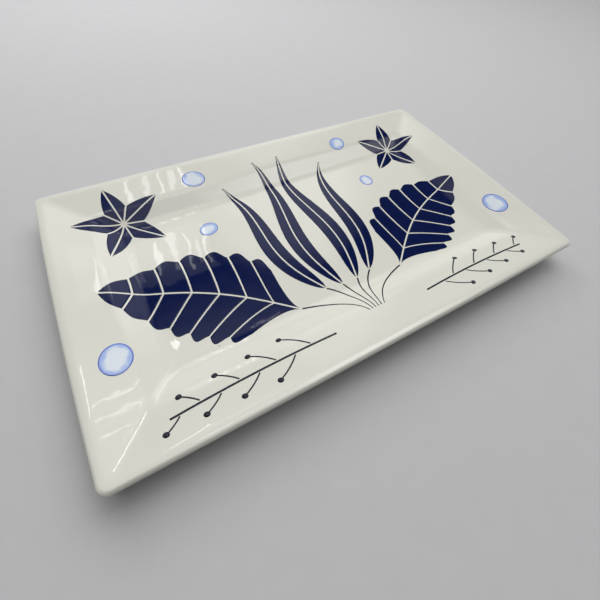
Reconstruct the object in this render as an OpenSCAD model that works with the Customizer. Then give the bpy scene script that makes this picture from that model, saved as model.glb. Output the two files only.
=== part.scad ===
// Rectangular serving platter of glazed porcelain with a printed seaweed spray.
// Millimetres. It stands on its foot ring at z = 0, with its length along X and its width along Y.
// Insets are measured inwards from the edge of the unbowed plan.

/* [Platter] */
// Overall length, at the middle of the short sides
platter_length = 360; // [340:1:420]
// Overall width, at the middle of the long sides
platter_width = 220; // [208:1:250]
// Radius of the four corners in plan
corner_radius = 5; // [4:0.5:12]
// How far the short sides bow outwards at their middle
short_side_bow = 1.5; // [0:0.1:4]
// How far the long sides bow outwards at their middle
long_side_bow = 1; // [0:0.1:4]

/* [Rim and well] */
// Width of the gently sloping rim, with its crest and lip
rim_width = 31; // [26:0.5:36]
// Fall of the rim from its crest to the step
rim_fall = 4.2; // [2.8:0.1:6]
// Distance of the rim's crest from the edge
crest_width = 5; // [4.5:0.25:8]
// Fall from the rim's crest to the edge
crest_fall = 0.3; // [0:0.05:0.7]
// Radius of the rim's crest
crest_radius = 18; // [6:1:22]
// Width of the steeper step from the rim into the well
step_width = 16; // [13:0.5:20]
// Fall of the step over its width
step_fall = 7; // [5:0.25:9]
// Radius of the soft break between the rim and the step
break_radius = 30; // [12:1:36]
// Radius of the hollow between the step and the well
well_radius = 26; // [12:1:32]
// Thickness of the well and of the step
wall = 4.8; // [4:0.1:6]
// Thickness of the lip before it is rounded
lip_thickness = 4.6; // [4.2:0.1:6]
// Radius of the lip's rounding
lip_radius = 2; // [1:0.1:2]

/* [Foot] */
// Height of the foot ring
foot_height = 4; // [3:0.25:6]
// Width of the flat that the platter stands on
foot_land = 4; // [2.5:0.25:7]
// Taper of each side of the foot ring over its height
foot_taper = 1.5; // [0.5:0.1:2]
// Distance of the foot ring from the inner edge of the step
foot_setback = 3; // [1:0.25:6]
// Radius of the edges of the flat
foot_round = 0.8; // [0.4:0.1:1]
// Radius of the hollow between the foot ring and the underside
foot_fillet = 2; // [1:0.1:2.2]
// Height of the foot ring that is wiped clean of glaze
bare_height = 1.2; // [0.8:0.1:1.4]

/* [Glaze and print] */
// Thickness of the clear glaze
glaze_thickness = 0.4; // [0.2:0.05:0.6]
// Thickness of the printed film
film_thickness = 0.2; // [0.1:0.05:0.3]
// Clearance between the glaze and the printed film
film_clearance = 0.06; // [0.05:0.01:0.12]
// White line left open between printed shapes
print_gap = 1.2; // [0.8:0.1:1.6]

/* [Fronds] */
// Length of the left frond
left_frond_length = 128; // [110:1:134]
// Width of the left frond
left_frond_width = 74; // [60:1:78]
// Length of the right frond
right_frond_length = 120; // [104:1:126]
// Width of the right frond
right_frond_width = 70; // [58:1:74]
// Sideways sway of a frond's midrib
frond_sway = 9; // [0:0.5:11]
// Number of lobes along each side of a frond
frond_lobes = 7; // [5:1:8]

/* [Weed blades] */
// Length of the two outer blades
outer_blade_length = 124; // [100:1:130]
// Length of the two inner blades
inner_blade_length = 140; // [110:1:146]
// Width of the blades
blade_width = 16; // [12:0.5:18]
// Sideways sway of the blades
blade_sway = 6; // [0:0.5:7]
// Width of the fine stems below the spray
stem_line = 1.2; // [0.8:0.1:1.4]
// Distance between the stems where they come together
stem_pitch = 2.4; // [2.2:0.1:3.2]

/* [Stars] */
// Reach of the left star's arms
left_star_reach = 33; // [26:0.5:36]
// Reach of the right star's arms
right_star_reach = 31; // [24:0.5:33]

/* [Sprigs] */
// Length of the left sprig
left_sprig_length = 104; // [90:1:108]
// Length of the right sprig
right_sprig_length = 98; // [86:1:102]
// Length of the lowest twig
twig_length = 23; // [18:0.5:24]
// Drop of a sprig's tip from a straight line
sprig_lean = 6; // [0:0.5:8]
// Width of a sprig's stem
sprig_line = 1.3; // [0.9:0.1:1.5]
// Radius of the bud at the end of a twig
bud_radius = 1.7; // [1.2:0.1:2]

/* [Pebbles] */
// Half length of the largest pebble
pebble_reach = 11; // [8:0.25:12]

/* [Hidden] */

bisque_colour = "#ECE7DB";
glaze_colour = "#F1F0EA";
navy = "#17205A";
ink = "#1F2233";
wash_blue = "#6C87CC";

// Half sizes of the bare bisque, without the bow
half_length = platter_length / 2 - short_side_bow - glaze_thickness;
half_width = platter_width / 2 - long_side_bow - glaze_thickness;

// Heights of the underside of the well, its floor, the rim's inner edge, its crest and the lip
base_z = foot_height;
well_z = base_z + wall;
break_z = well_z + step_fall;
crest_z = break_z + rim_fall;
lip_z = crest_z - crest_fall;

// Insets of the foot ring's edges, from its outer side to its inner side
well_inset = rim_width + step_width;
foot_top = well_inset + foot_setback;
foot_outer = foot_top + foot_taper;
foot_inner = foot_outer + foot_land;
recess_inset = foot_inner + foot_taper;
bare_taper = foot_taper * bare_height / foot_height;

// Steps in the rings and arcs
corner_steps = 5;
side_steps = 4;
soft_steps = 5;
crest_steps = 3;
lip_steps = 4;
foot_steps = 2;

// Largest side of a facet of the printed film, and the least width of its tips
film_step = 6;
film_tip = 0.35;

// Shape of the fronds and the blades: where they are widest, how full they are, how they sweep,
// and how far forward their lobes lean
frond_peak_share = 0.8;
frond_full_share = 0.72;
frond_sweep_share = 0.2;
frond_lobe_share = 0.14;
lobe_lean_share = 1.5;
blade_peak_share = 0.7;
blade_full_share = 0.8;
blade_rib_share = 0.4;
frond_wave_share = 0.5;
blade_wave_share = 0.9;

// Shape of the stars: how far out the notches between the arms lie, and how full the arms are
star_arms = 5;
star_notch_share = 0.36;
star_taper_share = 1.5;
star_full_share = 0.8;

// Shape of the sprigs
twig_count = 8;
twig_first_share = 0.16;
twig_spread_share = 0.78;
twig_shrink_share = 0.5;
twig_line_share = 0.7;
twig_angle = 46;
twig_curl_share = 0.25;

// Shape of the pebbles
pebble_width_share = 0.86;
pebble_steps = 6;

// Places of the printed pieces, as shares of the half length and the half width, and their turn.
// A blade's foot lies below the middle of the platter by a share of the blade's own length
frond_at_shares = [[-0.245, -0.53], [0.245, -0.53]];
frond_turns = [150, 29];
blade_x_shares = [-0.108, -0.036, 0.036, 0.108];
blade_drop_shares = [0.405, 0.374, 0.374, 0.405];
blade_turns = [104, 93.5, 86, 75];
star_at_shares = [[-0.71, 0.61], [0.7, 0.58]];
star_turns = [100, 76];
sprig_at_shares = [[-0.2, -0.8], [0.22, -0.81]];
sprig_turns = [178, 3];
stem_count = 6;
root_y_share = -0.76;
stem_taper_share = 0.5;
stem_bend_shares = [0.8, 0.3];
pebble_at_shares = [[-0.87, -0.4], [-0.4, 0.34], [-0.36, 0.8], [0.43, 0.77], [0.44, 0.32], [0.88, -0.42]];
pebble_reach_shares = [0.92, 0.66, 0.84, 0.74, 0.62, 1];
pebble_turns = [70, 20, -15, 35, 80, 100];

// Point of the plan carried onto its bowed sides
function bowed(p) = [
    p.x * (1 + short_side_bow / half_length * (1 - pow(p.y / half_width, 2))),
    p.y * (1 + long_side_bow / half_width * (1 - pow(p.x / half_length, 2)))
];

// Inset of a point of the unbowed plan: level lines are rectangles with round corners
function inset(p) =
    let (
        ends = half_length - abs(p.x),
        sides = half_width - abs(p.y),
        gap = ends - sides
    )
    abs(gap) < corner_radius
        ? (ends + sides + sqrt(2 * pow(corner_radius, 2) - pow(gap, 2))) / 2 - corner_radius
        : min(ends, sides);

// Corner q of the level line at inset d, at step i along its arc
function corner_point(d, q, i) =
    let (
        sign_x = q == 0 || q == 3 ? 1 : -1,
        sign_y = q < 2 ? 1 : -1,
        angle = 90 * (q + i / corner_steps)
    )
    [
        sign_x * (half_length - d - corner_radius) + corner_radius * cos(angle),
        sign_y * (half_width - d - corner_radius) + corner_radius * sin(angle)
    ];

// Point at a share t of the way from a to b
function between(a, b, t) = a + (b - a) * t;

// Level line at inset d, counter-clockwise, with its sides bowed
function ring(d) = [
    for (q = [0:3])
        for (i = [0:corner_steps + side_steps - 1])
            bowed(
                i <= corner_steps
                    ? corner_point(d, q, i)
                    : between(
                        corner_point(d, q, corner_steps),
                        corner_point(d, (q + 1) % 4, 0),
                        (i - corner_steps) / side_steps
                    )
            )
];
ring_count = 4 * (corner_steps + side_steps);

// Arc of radius r that rounds the corner p between the points a and b
function corner_arc(a, p, b, r, steps) =
    let (
        to_a = (a - p) / norm(a - p),
        to_b = (b - p) / norm(b - p),
        half_angle = acos(to_a * to_b) / 2,
        sweep = 180 - 2 * half_angle,
        middle = p + (to_a + to_b) / norm(to_a + to_b) * r / sin(half_angle),
        from = p + to_a * r / tan(half_angle) - middle,
        upto = p + to_b * r / tan(half_angle) - middle
    )
    [
        for (i = [0:steps])
            let (t = i / steps)
            middle + (from * sin((1 - t) * sweep) + upto * sin(t * sweep)) / sin(sweep)
    ];

// Path through corners given as [inset, height, radius, steps], with the ends left sharp
function rounded_path(corners) =
    let (
        spots = [for (c = corners) [c[0], c[1]]],
        last = len(corners) - 1
    )
    [
        for (i = [0:last])
            each i == 0 || i == last
                ? [spots[i]]
                : corner_arc(spots[i - 1], spots[i], spots[i + 1], corners[i][2], corners[i][3])
    ];

// Normal of the stretch of a path from point i to the next one, on its outer side
function stretch_normal(path, i) =
    let (step = path[i + 1] - path[i])
    [step[1], -step[0]] / norm(step);

// Path moved outwards by a thickness
function grown_path(path, thickness) =
    let (last = len(path) - 1)
    [
        for (i = [0:last])
            let (
                before = stretch_normal(path, max(i - 1, 0)),
                after = stretch_normal(path, min(i, last - 1))
            )
            path[i] + thickness * (before + after) / (1 + before * after)
    ];

function reversed(list) = [for (i = [len(list) - 1:-1:0]) list[i]];
function without_first(list) = [for (i = [1:len(list) - 1]) list[i]];

// Corners of the section, from the middle of the well over the lip to the recess under it
top_corners = [
    [well_inset + well_radius, well_z, 0, 0],
    [well_inset, well_z, well_radius, soft_steps],
    [rim_width, break_z, break_radius, soft_steps],
    [crest_width, crest_z, crest_radius, crest_steps],
    [0, lip_z, lip_radius, lip_steps]
];
under_corners = [
    [0, lip_z - lip_thickness, lip_radius, lip_steps],
    [rim_width, break_z - wall, break_radius, soft_steps],
    [foot_top, base_z, foot_fillet, foot_steps],
    [foot_outer - bare_taper, bare_height, 0, 0]
];
foot_corners = [
    [foot_outer - bare_taper, bare_height, 0, 0],
    [foot_outer, 0, foot_round, foot_steps],
    [foot_inner, 0, foot_round, foot_steps],
    [foot_inner + bare_taper, bare_height, 0, 0]
];
recess_corners = [
    [foot_inner + bare_taper, bare_height, 0, 0],
    [recess_inset, base_z, foot_fillet, foot_steps],
    [recess_inset + foot_fillet + foot_land, base_z, 0, 0]
];
coat_path = rounded_path(concat(top_corners, under_corners));
foot_path = rounded_path(foot_corners);
recess_path = rounded_path(recess_corners);
body_path = concat(coat_path, without_first(foot_path), without_first(recess_path));

// Height of the glazed top against the inset, with the insets rising
top_heights = reversed(grown_path(rounded_path(top_corners), glaze_thickness));

// Point of the unbowed plan carried onto the glazed top and raised by a lift
function on_glaze(p, lift) =
    let (q = bowed(p))
    [q.x, q.y, lookup(inset(p), top_heights) + lift];

// Closed solid whose section is a path of [inset, height], from its top face to its bottom face
module loft(path) {
    n = ring_count;
    last = len(path) - 1;
    points = [for (s = path) for (p = ring(s[0])) [p.x, p.y, s[1]]];
    walls = [
        for (i = [0:last - 1])
            for (j = [0:n - 1])
                let (
                    k = (j + 1) % n,
                    a = i * n,
                    b = a + n
                )
                each [[a + j, a + k, b + k], [a + j, b + k, b + j]]
    ];
    top_face = [for (j = [n - 1:-1:0]) j];
    bottom_face = [for (j = [0:n - 1]) last * n + j];
    polyhedron(points, concat(walls, [top_face, bottom_face]));
}

// Faces of a film patch of r rows and c columns, whose upper points start at s
function patch_faces(r, c, s) =
    let (
        lower = r * c,
        rows = [0:r - 2],
        columns = [0:c - 2],
        far_row = s + (r - 1) * c
    )
    concat(
        [
            for (i = rows)
                for (j = columns)
                    let (a = s + i * c + j)
                    each [
                        [a, a + 1, a + c + 1],
                        [a, a + c + 1, a + c],
                        [a + lower, a + c + 1 + lower, a + 1 + lower],
                        [a + lower, a + c + lower, a + c + 1 + lower]
                    ]
        ],
        [
            for (i = rows)
                let (
                    a = s + i * c,
                    b = a + c - 1
                )
                each [
                    [a, a + c, a + c + lower],
                    [a, a + c + lower, a + lower],
                    [b + c, b, b + lower],
                    [b + c, b + lower, b + c + lower]
                ]
        ],
        [
            for (j = columns)
                let (
                    a = s + j,
                    b = far_row + j
                )
                each [
                    [a + 1, a, a + lower],
                    [a + 1, a + lower, a + 1 + lower],
                    [b, b + 1, b + 1 + lower],
                    [b, b + 1 + lower, b + lower]
                ]
        ]
    );

// Printed film on the glaze: each patch is a grid of plan points and becomes a thin closed solid
module film(patches) {
    sizes = [for (p = patches) 2 * len(p) * len(p[0])];
    starts = [for (i = 0, s = 0; i < len(patches); s = s + sizes[i], i = i + 1) s];
    points = [
        for (p = patches)
            for (lift = [film_clearance + film_thickness, film_clearance])
                for (row = p)
                    for (q = row)
                        on_glaze(q, lift)
    ];
    faces = [
        for (i = [0:len(patches) - 1])
            each patch_faces(len(patches[i]), len(patches[i][0]), starts[i])
    ];
    polyhedron(points, faces);
}

// Place on the platter given as shares of its half sizes
function spot(shares) = [shares.x * half_length, shares.y * half_width];

// Patches turned about their own origin and carried to a place
function placed(patches, at, turn) = [
    for (patch = patches)
        [
            for (row = patch)
                [
                    for (p = row)
                        at + [p.x * cos(turn) - p.y * sin(turn), p.x * sin(turn) + p.y * cos(turn)]
                ]
        ]
];

// Swaying midline of a frond or a blade at a share u of its length, and its left-hand direction
function midline(u, length, sway, waves) = [length * u, sway * sin(360 * waves * u)];
function midline_left(u, length, sway, waves) =
    let (rise = 2 * PI * waves * sway * cos(360 * waves * u))
    [-rise, length] / norm([rise, length]);

// Half width of a frond or a blade at a share u of its length
function leaf_half(u, width, peak, full) = width / 2 * pow(max(sin(180 * pow(u, peak)), 0), full);

// Columns of shares across one side, in the order that keeps the film's upper face up
function across_shares(side, columns) = [
    for (c = [0:columns])
        side > 0 ? c / columns : 1 - c / columns
];

// One printed cell of a frond between two veins, on one side of the midrib
function frond_cell(length, width, sway, lobe, side) =
    let (
        margin = print_gap / length / 2,
        first = lobe / frond_lobes + margin,
        span = 1 / frond_lobes - 2 * margin,
        rows = ceil(span * length / film_step),
        columns = ceil(width / 2 / film_step)
    )
    [
        for (r = [0:rows])
            let (
                u = first + span * r / rows,
                t = u * frond_lobes - lobe,
                bulge = 1 + frond_lobe_share * (sin(180 * pow(t, lobe_lean_share)) - 1)
            )
            [
                for (f = across_shares(side, columns))
                    let (
                        v = u + frond_sweep_share * f * (1 - u),
                        full = leaf_half(v, width, frond_peak_share, frond_full_share) * bulge,
                        reach = print_gap / 2 + f * max(full - print_gap / 2, film_tip)
                    )
                    midline(v, length, sway, frond_wave_share)
                        + side * reach * midline_left(v, length, sway, frond_wave_share)
            ]
    ];

// Broad frond: lobed cells on both sides of an open midrib
function frond(length, width, sway) = [
    for (side = [-1, 1])
        for (lobe = [0:frond_lobes - 1])
            frond_cell(length, width, sway, lobe, side)
];

// Length of blade i of the spray, counted from the left, and the place of its foot
function blade_length(i) = i == 0 || i == 3 ? outer_blade_length : inner_blade_length;
function blade_foot(i) = [blade_x_shares[i] * half_length, -blade_drop_shares[i] * blade_length(i)];

// Slender blade: two halves beside an open midrib
function blade(length, sway) =
    let (
        rows = ceil(length / film_step),
        columns = ceil(blade_width / 2 / film_step)
    )
    [
        for (side = [-1, 1])
            [
                for (r = [0:rows])
                    let (
                        u = r / rows,
                        leaf = leaf_half(u, blade_width, blade_peak_share, blade_full_share),
                        full = max(leaf, 2 * film_tip),
                        rib = min(print_gap / 2, full * blade_rib_share)
                    )
                    [
                        for (f = across_shares(side, columns))
                            midline(u, length, sway, blade_wave_share)
                                + side * (rib + f * (full - rib))
                                    * midline_left(u, length, sway, blade_wave_share)
                    ]
            ]
    ];

// Star: each arm in two halves, with open lines along the arms and between them
function star(reach) =
    let (
        half_arm = 180 / star_arms,
        open = print_gap / 2 / cos(half_arm),
        start = (print_gap / 2 + film_tip + open) / tan(half_arm),
        notch = star_notch_share * reach,
        rows_in = ceil((notch - start) / film_step) + 1,
        rows_out = ceil((reach - notch) / film_step) + 1,
        along = concat(
            [for (r = [0:rows_in - 1]) between(start, notch, r / rows_in)],
            [for (r = [0:rows_out]) between(notch, reach, r / rows_out)]
        ),
        halves = [
            for (side = [-1, 1])
                [
                    for (x = along)
                        let (
                            wedge = x * tan(half_arm) - open,
                            t = max((x - notch) / (reach - notch), 0),
                            arm = (notch * tan(half_arm) - open)
                                * pow(1 - pow(t, star_taper_share), star_full_share),
                            full = max(min(wedge, arm), print_gap / 2 + film_tip)
                        )
                        [
                            for (f = across_shares(side, 2))
                                [x, side * between(print_gap / 2, full, f)]
                        ]
                ]
        ]
    )
    [for (k = [0:star_arms - 1]) each placed(halves, [0, 0], 360 * k / star_arms)];

// Line of varying width: rows of [point, heading, half width] give its two edges
function line_patch(stations) = [
    for (s = stations)
        let (left = [-sin(s[1]), cos(s[1])])
        [s[0] - left * s[2], s[0] + left * s[2]]
];

// Twig that leaves a stem at a heading, curls a little and ends in a round bud
function twig(base, heading, length) =
    let (
        line = sprig_line * twig_line_share / 2,
        shank = length - 2 * bud_radius,
        widths = concat(
            [for (i = [0:3]) [shank * i / 3, line]],
            [for (a = [30:30:150]) [shank + bud_radius * (1 - cos(a)), bud_radius * sin(a)]]
        )
    )
    line_patch([
        for (w = widths)
            let (angle = heading * (1 - twig_curl_share * w[0] / length))
            [base + w[0] * [cos(angle), sin(angle)], angle, w[1]]
    ]);

// Sprig: a leaning stem with twigs by turns on either side, held clear of the stem
function sprig(length, lean) =
    let (
        steps = 2 * twig_count,
        stem = line_patch([
            for (i = [0:steps])
                let (t = i / steps)
                [[length * t, lean * t * t], atan(2 * lean * t / length), sprig_line / 2]
        ]),
        clear = sprig_line / 2 + print_gap / 2
    )
    concat(
        [stem],
        [
            for (i = [0:twig_count - 1])
                let (
                    side = i % 2 == 0 ? -1 : 1,
                    t = twig_first_share + twig_spread_share * i / (twig_count - 1)
                )
                twig(
                    [length * t + clear, lean * t * t + side * clear],
                    side * twig_angle,
                    twig_length * (1 - twig_shrink_share * t)
                )
        ]
    );

// Pebble: a square grid drawn round into an oval
function pebble_shape(reach) = [
    for (i = [0:pebble_steps])
        [
            for (j = [0:pebble_steps])
                let (
                    u = 2 * i / pebble_steps - 1,
                    v = 2 * j / pebble_steps - 1
                )
                [
                    reach * u * sqrt(1 - v * v / 2),
                    reach * pebble_width_share * v * sqrt(1 - u * u / 2)
                ]
        ]
];

// Fine stem from below a blade at a heading down to its place at the root of the spray
function spray_stem(at, turn, index) =
    let (
        steps = 6,
        from = at - print_gap * [cos(turn), sin(turn)],
        root = [(index - (stem_count - 1) / 2) * stem_pitch, root_y_share * half_width],
        bend = [between(from.x, root.x, stem_bend_shares.x), between(from.y, root.y, stem_bend_shares.y)]
    )
    line_patch([
        for (i = [0:steps])
            let (
                t = i / steps,
                way = 2 * (1 - t) * (bend - from) + 2 * t * (root - bend)
            )
            [
                between(between(from, bend, t), between(bend, root, t), t),
                atan2(way.y, way.x),
                stem_line / 2 * (1 - stem_taper_share * t)
            ]
    ]);

module porcelain_body() {
    color(bisque_colour)
        loft(body_path);
}

module glaze_coat() {
    color(glaze_colour)
        loft(concat(grown_path(coat_path, glaze_thickness), reversed(coat_path)));
}

module base_glaze() {
    color(glaze_colour)
        loft(concat(reversed(recess_path), grown_path(recess_path, glaze_thickness)));
}

module frond_left() {
    shape = frond(left_frond_length, left_frond_width, -frond_sway);
    color(navy)
        film(placed(shape, spot(frond_at_shares[0]), frond_turns[0]));
}

module frond_right() {
    shape = frond(right_frond_length, right_frond_width, frond_sway);
    color(navy)
        film(placed(shape, spot(frond_at_shares[1]), frond_turns[1]));
}

module weed_blade(i) {
    shape = blade(blade_length(i), i < 2 ? blade_sway : -blade_sway);
    color(navy)
        film(placed(shape, blade_foot(i), blade_turns[i]));
}

module spray_stems() {
    feet = concat(
        [spot(frond_at_shares[0])],
        [for (i = [0:3]) blade_foot(i)],
        [spot(frond_at_shares[1])]
    );
    turns = concat([frond_turns[0]], blade_turns, [frond_turns[1]]);
    color(ink)
        film([for (i = [0:stem_count - 1]) spray_stem(feet[i], turns[i], i)]);
}

module star_left() {
    color(navy)
        film(placed(star(left_star_reach), spot(star_at_shares[0]), star_turns[0]));
}

module star_right() {
    color(navy)
        film(placed(star(right_star_reach), spot(star_at_shares[1]), star_turns[1]));
}

module sprig_left() {
    shape = sprig(left_sprig_length, sprig_lean);
    color(ink)
        film(placed(shape, spot(sprig_at_shares[0]), sprig_turns[0]));
}

module sprig_right() {
    shape = sprig(right_sprig_length, -sprig_lean);
    color(ink)
        film(placed(shape, spot(sprig_at_shares[1]), sprig_turns[1]));
}

module pebble(i) {
    shape = pebble_shape(pebble_reach * pebble_reach_shares[i]);
    color(wash_blue)
        film(placed([shape], spot(pebble_at_shares[i]), pebble_turns[i]));
}

porcelain_body();
glaze_coat();
base_glaze();
frond_left();
frond_right();
spray_stems();
star_left();
star_right();
sprig_left();
sprig_right();
for (i = [0:3])
    weed_blade(i);
for (i = [0:5])
    pebble(i);
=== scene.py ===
"""Glazed porcelain serving platter with a printed seaweed spray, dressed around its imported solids.

Metres throughout, in the frame of the solids: the platter stands on its foot ring at z = 0, with
its length along X and its width along Y. Insets are measured inwards from the edge of the plan.
"""

import logging
import math
from dataclasses import dataclass
from enum import Enum

import bpy
import numpy as np
from mathutils import Matrix, Quaternion, Vector


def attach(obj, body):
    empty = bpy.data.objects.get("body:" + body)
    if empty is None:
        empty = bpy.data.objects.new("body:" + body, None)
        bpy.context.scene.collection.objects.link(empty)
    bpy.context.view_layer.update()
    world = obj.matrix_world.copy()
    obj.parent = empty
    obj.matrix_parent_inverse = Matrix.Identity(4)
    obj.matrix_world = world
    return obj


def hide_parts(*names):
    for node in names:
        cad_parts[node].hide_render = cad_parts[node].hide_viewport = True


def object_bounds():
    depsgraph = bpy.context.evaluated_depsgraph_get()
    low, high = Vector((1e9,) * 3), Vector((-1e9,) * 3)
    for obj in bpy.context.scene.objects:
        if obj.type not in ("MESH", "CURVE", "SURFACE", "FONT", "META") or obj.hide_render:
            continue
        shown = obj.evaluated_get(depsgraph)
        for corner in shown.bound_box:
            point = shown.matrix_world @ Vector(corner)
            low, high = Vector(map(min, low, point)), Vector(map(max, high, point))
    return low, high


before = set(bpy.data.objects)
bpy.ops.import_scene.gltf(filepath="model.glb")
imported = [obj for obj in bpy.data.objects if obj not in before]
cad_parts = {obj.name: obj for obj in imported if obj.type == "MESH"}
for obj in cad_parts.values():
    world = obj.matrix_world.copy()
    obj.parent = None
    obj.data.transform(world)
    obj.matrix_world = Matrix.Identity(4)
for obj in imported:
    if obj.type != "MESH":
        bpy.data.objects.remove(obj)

MM = 0.001
BODY = "root"
TONE = "tone"

# Sockets of the mix node that serve its colour mode: three inputs and one output.
MIX_SHARE, MIX_LOW, MIX_HIGH, MIX_RESULT = 0, 6, 7, 2

Array = np.ndarray
Colour = tuple[float, float, float, float]
Inputs = dict[str | int, object]
Socket = bpy.types.NodeSocket

LOG = logging.getLogger("platter")
CAD_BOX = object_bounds()


class Slot(Enum):
    """Material slots."""

    BISQUE = "bisque_porcelain"
    GLAZE = "clear_glaze"
    NAVY = "navy_print"
    INK = "ink_print"
    WASH = "blue_wash_print"


class Side(Enum):
    """The two sides of a midrib, a stem or an arm."""

    RIGHT = -1
    LEFT = 1


Materials = dict[Slot, bpy.types.Material]


def linear(hex_colour: str) -> Colour:
    """Turn an sRGB hex colour into linear RGBA.

    Args:
        hex_colour: six hex digits after a hash sign.

    Returns:
        Linear red, green and blue, with an alpha of 1.
    """
    srgb = np.array([int(hex_colour[i:i + 2], 16) for i in (1, 3, 5)]) / 255
    rgb = np.where(srgb <= 0.04045, srgb / 12.92, ((srgb + 0.055) / 1.055) ** 2.4)
    return (*map(float, rgb), 1.0)


@dataclass
class Nodes:
    """A node tree, and the nodes that the finishes and the room are made of."""

    tree: bpy.types.NodeTree

    def add(self, kind: str, inputs: Inputs | None = None, **settings: object) -> bpy.types.Node:
        """Add a shader node with its settings, constants and links.

        Args:
            kind: class name of the node.
            inputs: a constant, or an output socket to link, for each input by name or number.
            settings: attributes of the node.

        Returns:
            The new node.
        """
        node = self.tree.nodes.new(kind)
        for name, value in settings.items():
            setattr(node, name, value)
        for key, value in (inputs or {}).items():
            if isinstance(value, Socket):
                self.tree.links.new(value, node.inputs[key])
            else:
                node.inputs[key].default_value = value
        return node

    def place(self) -> Socket:
        """Give the object coordinates."""
        return self.add("ShaderNodeTexCoord").outputs["Object"]

    def noise(self, size: float, detail: float, roughness: float = 0.5) -> Socket:
        """Add a cloudy noise in object coordinates.

        Args:
            size: size of its clouds.
            detail: number of finer noises in it.
            roughness: strength of the finer ones.

        Returns:
            The noise, which lies about one half.
        """
        inputs = {"Vector": self.place(), "Scale": 1 / size, "Detail": detail, "Roughness": roughness}
        return self.add("ShaderNodeTexNoise", inputs).outputs["Fac"]

    def calc(self, operation: str, first: object, second: object) -> Socket:
        """Work out an operation on two values, which are sockets or constants."""
        return self.add("ShaderNodeMath", {0: first, 1: second}, operation=operation).outputs[0]

    def blend(self, share: Socket, low: object, high: object, kind: str = "MIX") -> Socket:
        """Mix two colours, which are sockets or constants.

        Args:
            share: share of the second colour.
            low: first colour.
            high: second colour.
            kind: way of mixing.

        Returns:
            The mixed colour.
        """
        inputs = {MIX_SHARE: share, MIX_LOW: low, MIX_HIGH: high}
        node = self.add("ShaderNodeMix", inputs, data_type="RGBA", blend_type=kind)
        return node.outputs[MIX_RESULT]

    def ramp(
        self,
        value: Socket,
        ends: tuple[float, float] = (0, 1),
        levels: tuple[object, object] = (0, 1),
        smooth: bool = False,
    ) -> Socket:
        """Carry a value from one range to another, held at both ends.

        Args:
            value: the value.
            ends: ends of its range.
            levels: what the ends become, as sockets or constants.
            smooth: whether it starts and ends softly.

        Returns:
            The carried value.
        """
        inputs = {"Value": value, "From Min": ends[0], "From Max": ends[1]}
        inputs |= {"To Min": levels[0], "To Max": levels[1]}
        kind = "SMOOTHSTEP" if smooth else "LINEAR"
        return self.add("ShaderNodeMapRange", inputs, interpolation_type=kind).outputs[0]

    def bump(self, height: Socket, depth: float) -> Socket:
        """Turn heights of a given depth into a bumped normal."""
        return self.add("ShaderNodeBump", {"Height": height, "Distance": depth}).outputs["Normal"]


def grid_quads(index: Array) -> Array:
    """Give the quads of a grid of vertex numbers.

    Args:
        index: vertex numbers in rows and columns.

    Returns:
        Four vertex numbers per quad, in the order near, next column, far, next row.
    """
    corners = index[:-1, :-1], index[:-1, 1:], index[1:, 1:], index[1:, :-1]
    return np.stack(corners, axis=-1).reshape(-1, 4)


def outward(points: Array, quads: Array) -> Array:
    """Turn the quads of a closed shell so that they face outwards.

    The signed volume is a sixth of the sum of a . (b x c) over the triangles of the quads.

    Args:
        points: vertices.
        quads: vertex numbers of the shell.

    Returns:
        The quads, reversed if the volume came out negative.
    """
    a, b, c, d = (points[quads[:, i]] for i in range(4))
    volume = np.sum(a * np.cross(b, c)) + np.sum(a * np.cross(c, d))
    return quads if volume > 0 else quads[:, ::-1]


def make_piece(name: str, points: Array, quads: Array, smooth: Array) -> bpy.types.Object:
    """Put a closed shell into a mesh object at the origin.

    Args:
        name: name of the piece.
        points: vertices, in metres.
        quads: vertex numbers of each face.
        smooth: whether each face is shaded smooth.

    Returns:
        The object, linked to the scene.
    """
    mesh = bpy.data.meshes.new(name)
    mesh.from_pydata(points, [], quads)
    mesh.polygons.foreach_set("use_smooth", smooth)
    mesh.update()
    piece = bpy.data.objects.new(name, mesh)
    bpy.context.scene.collection.objects.link(piece)
    return piece


def set_tone(piece: bpy.types.Object, tone: Array) -> None:
    """Store a share per vertex, which the finishes read.

    Args:
        piece: the piece.
        tone: one value per vertex.
    """
    attribute = piece.data.attributes.new(TONE, "FLOAT", "POINT")
    attribute.data.foreach_set("value", tone.astype(np.float32))


def fit_piece(piece: bpy.types.Object, node: str, material: bpy.types.Material) -> None:
    """Dress a piece and let it stand for its solid.

    Args:
        piece: the piece.
        node: name of the solid that it stands for.
        material: its finish.
    """
    piece.data.materials.append(material)
    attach(piece, BODY)
    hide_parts(node)
    LOG.info("%s stands for %s with %d faces", piece.name, node, len(piece.data.polygons))


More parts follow.
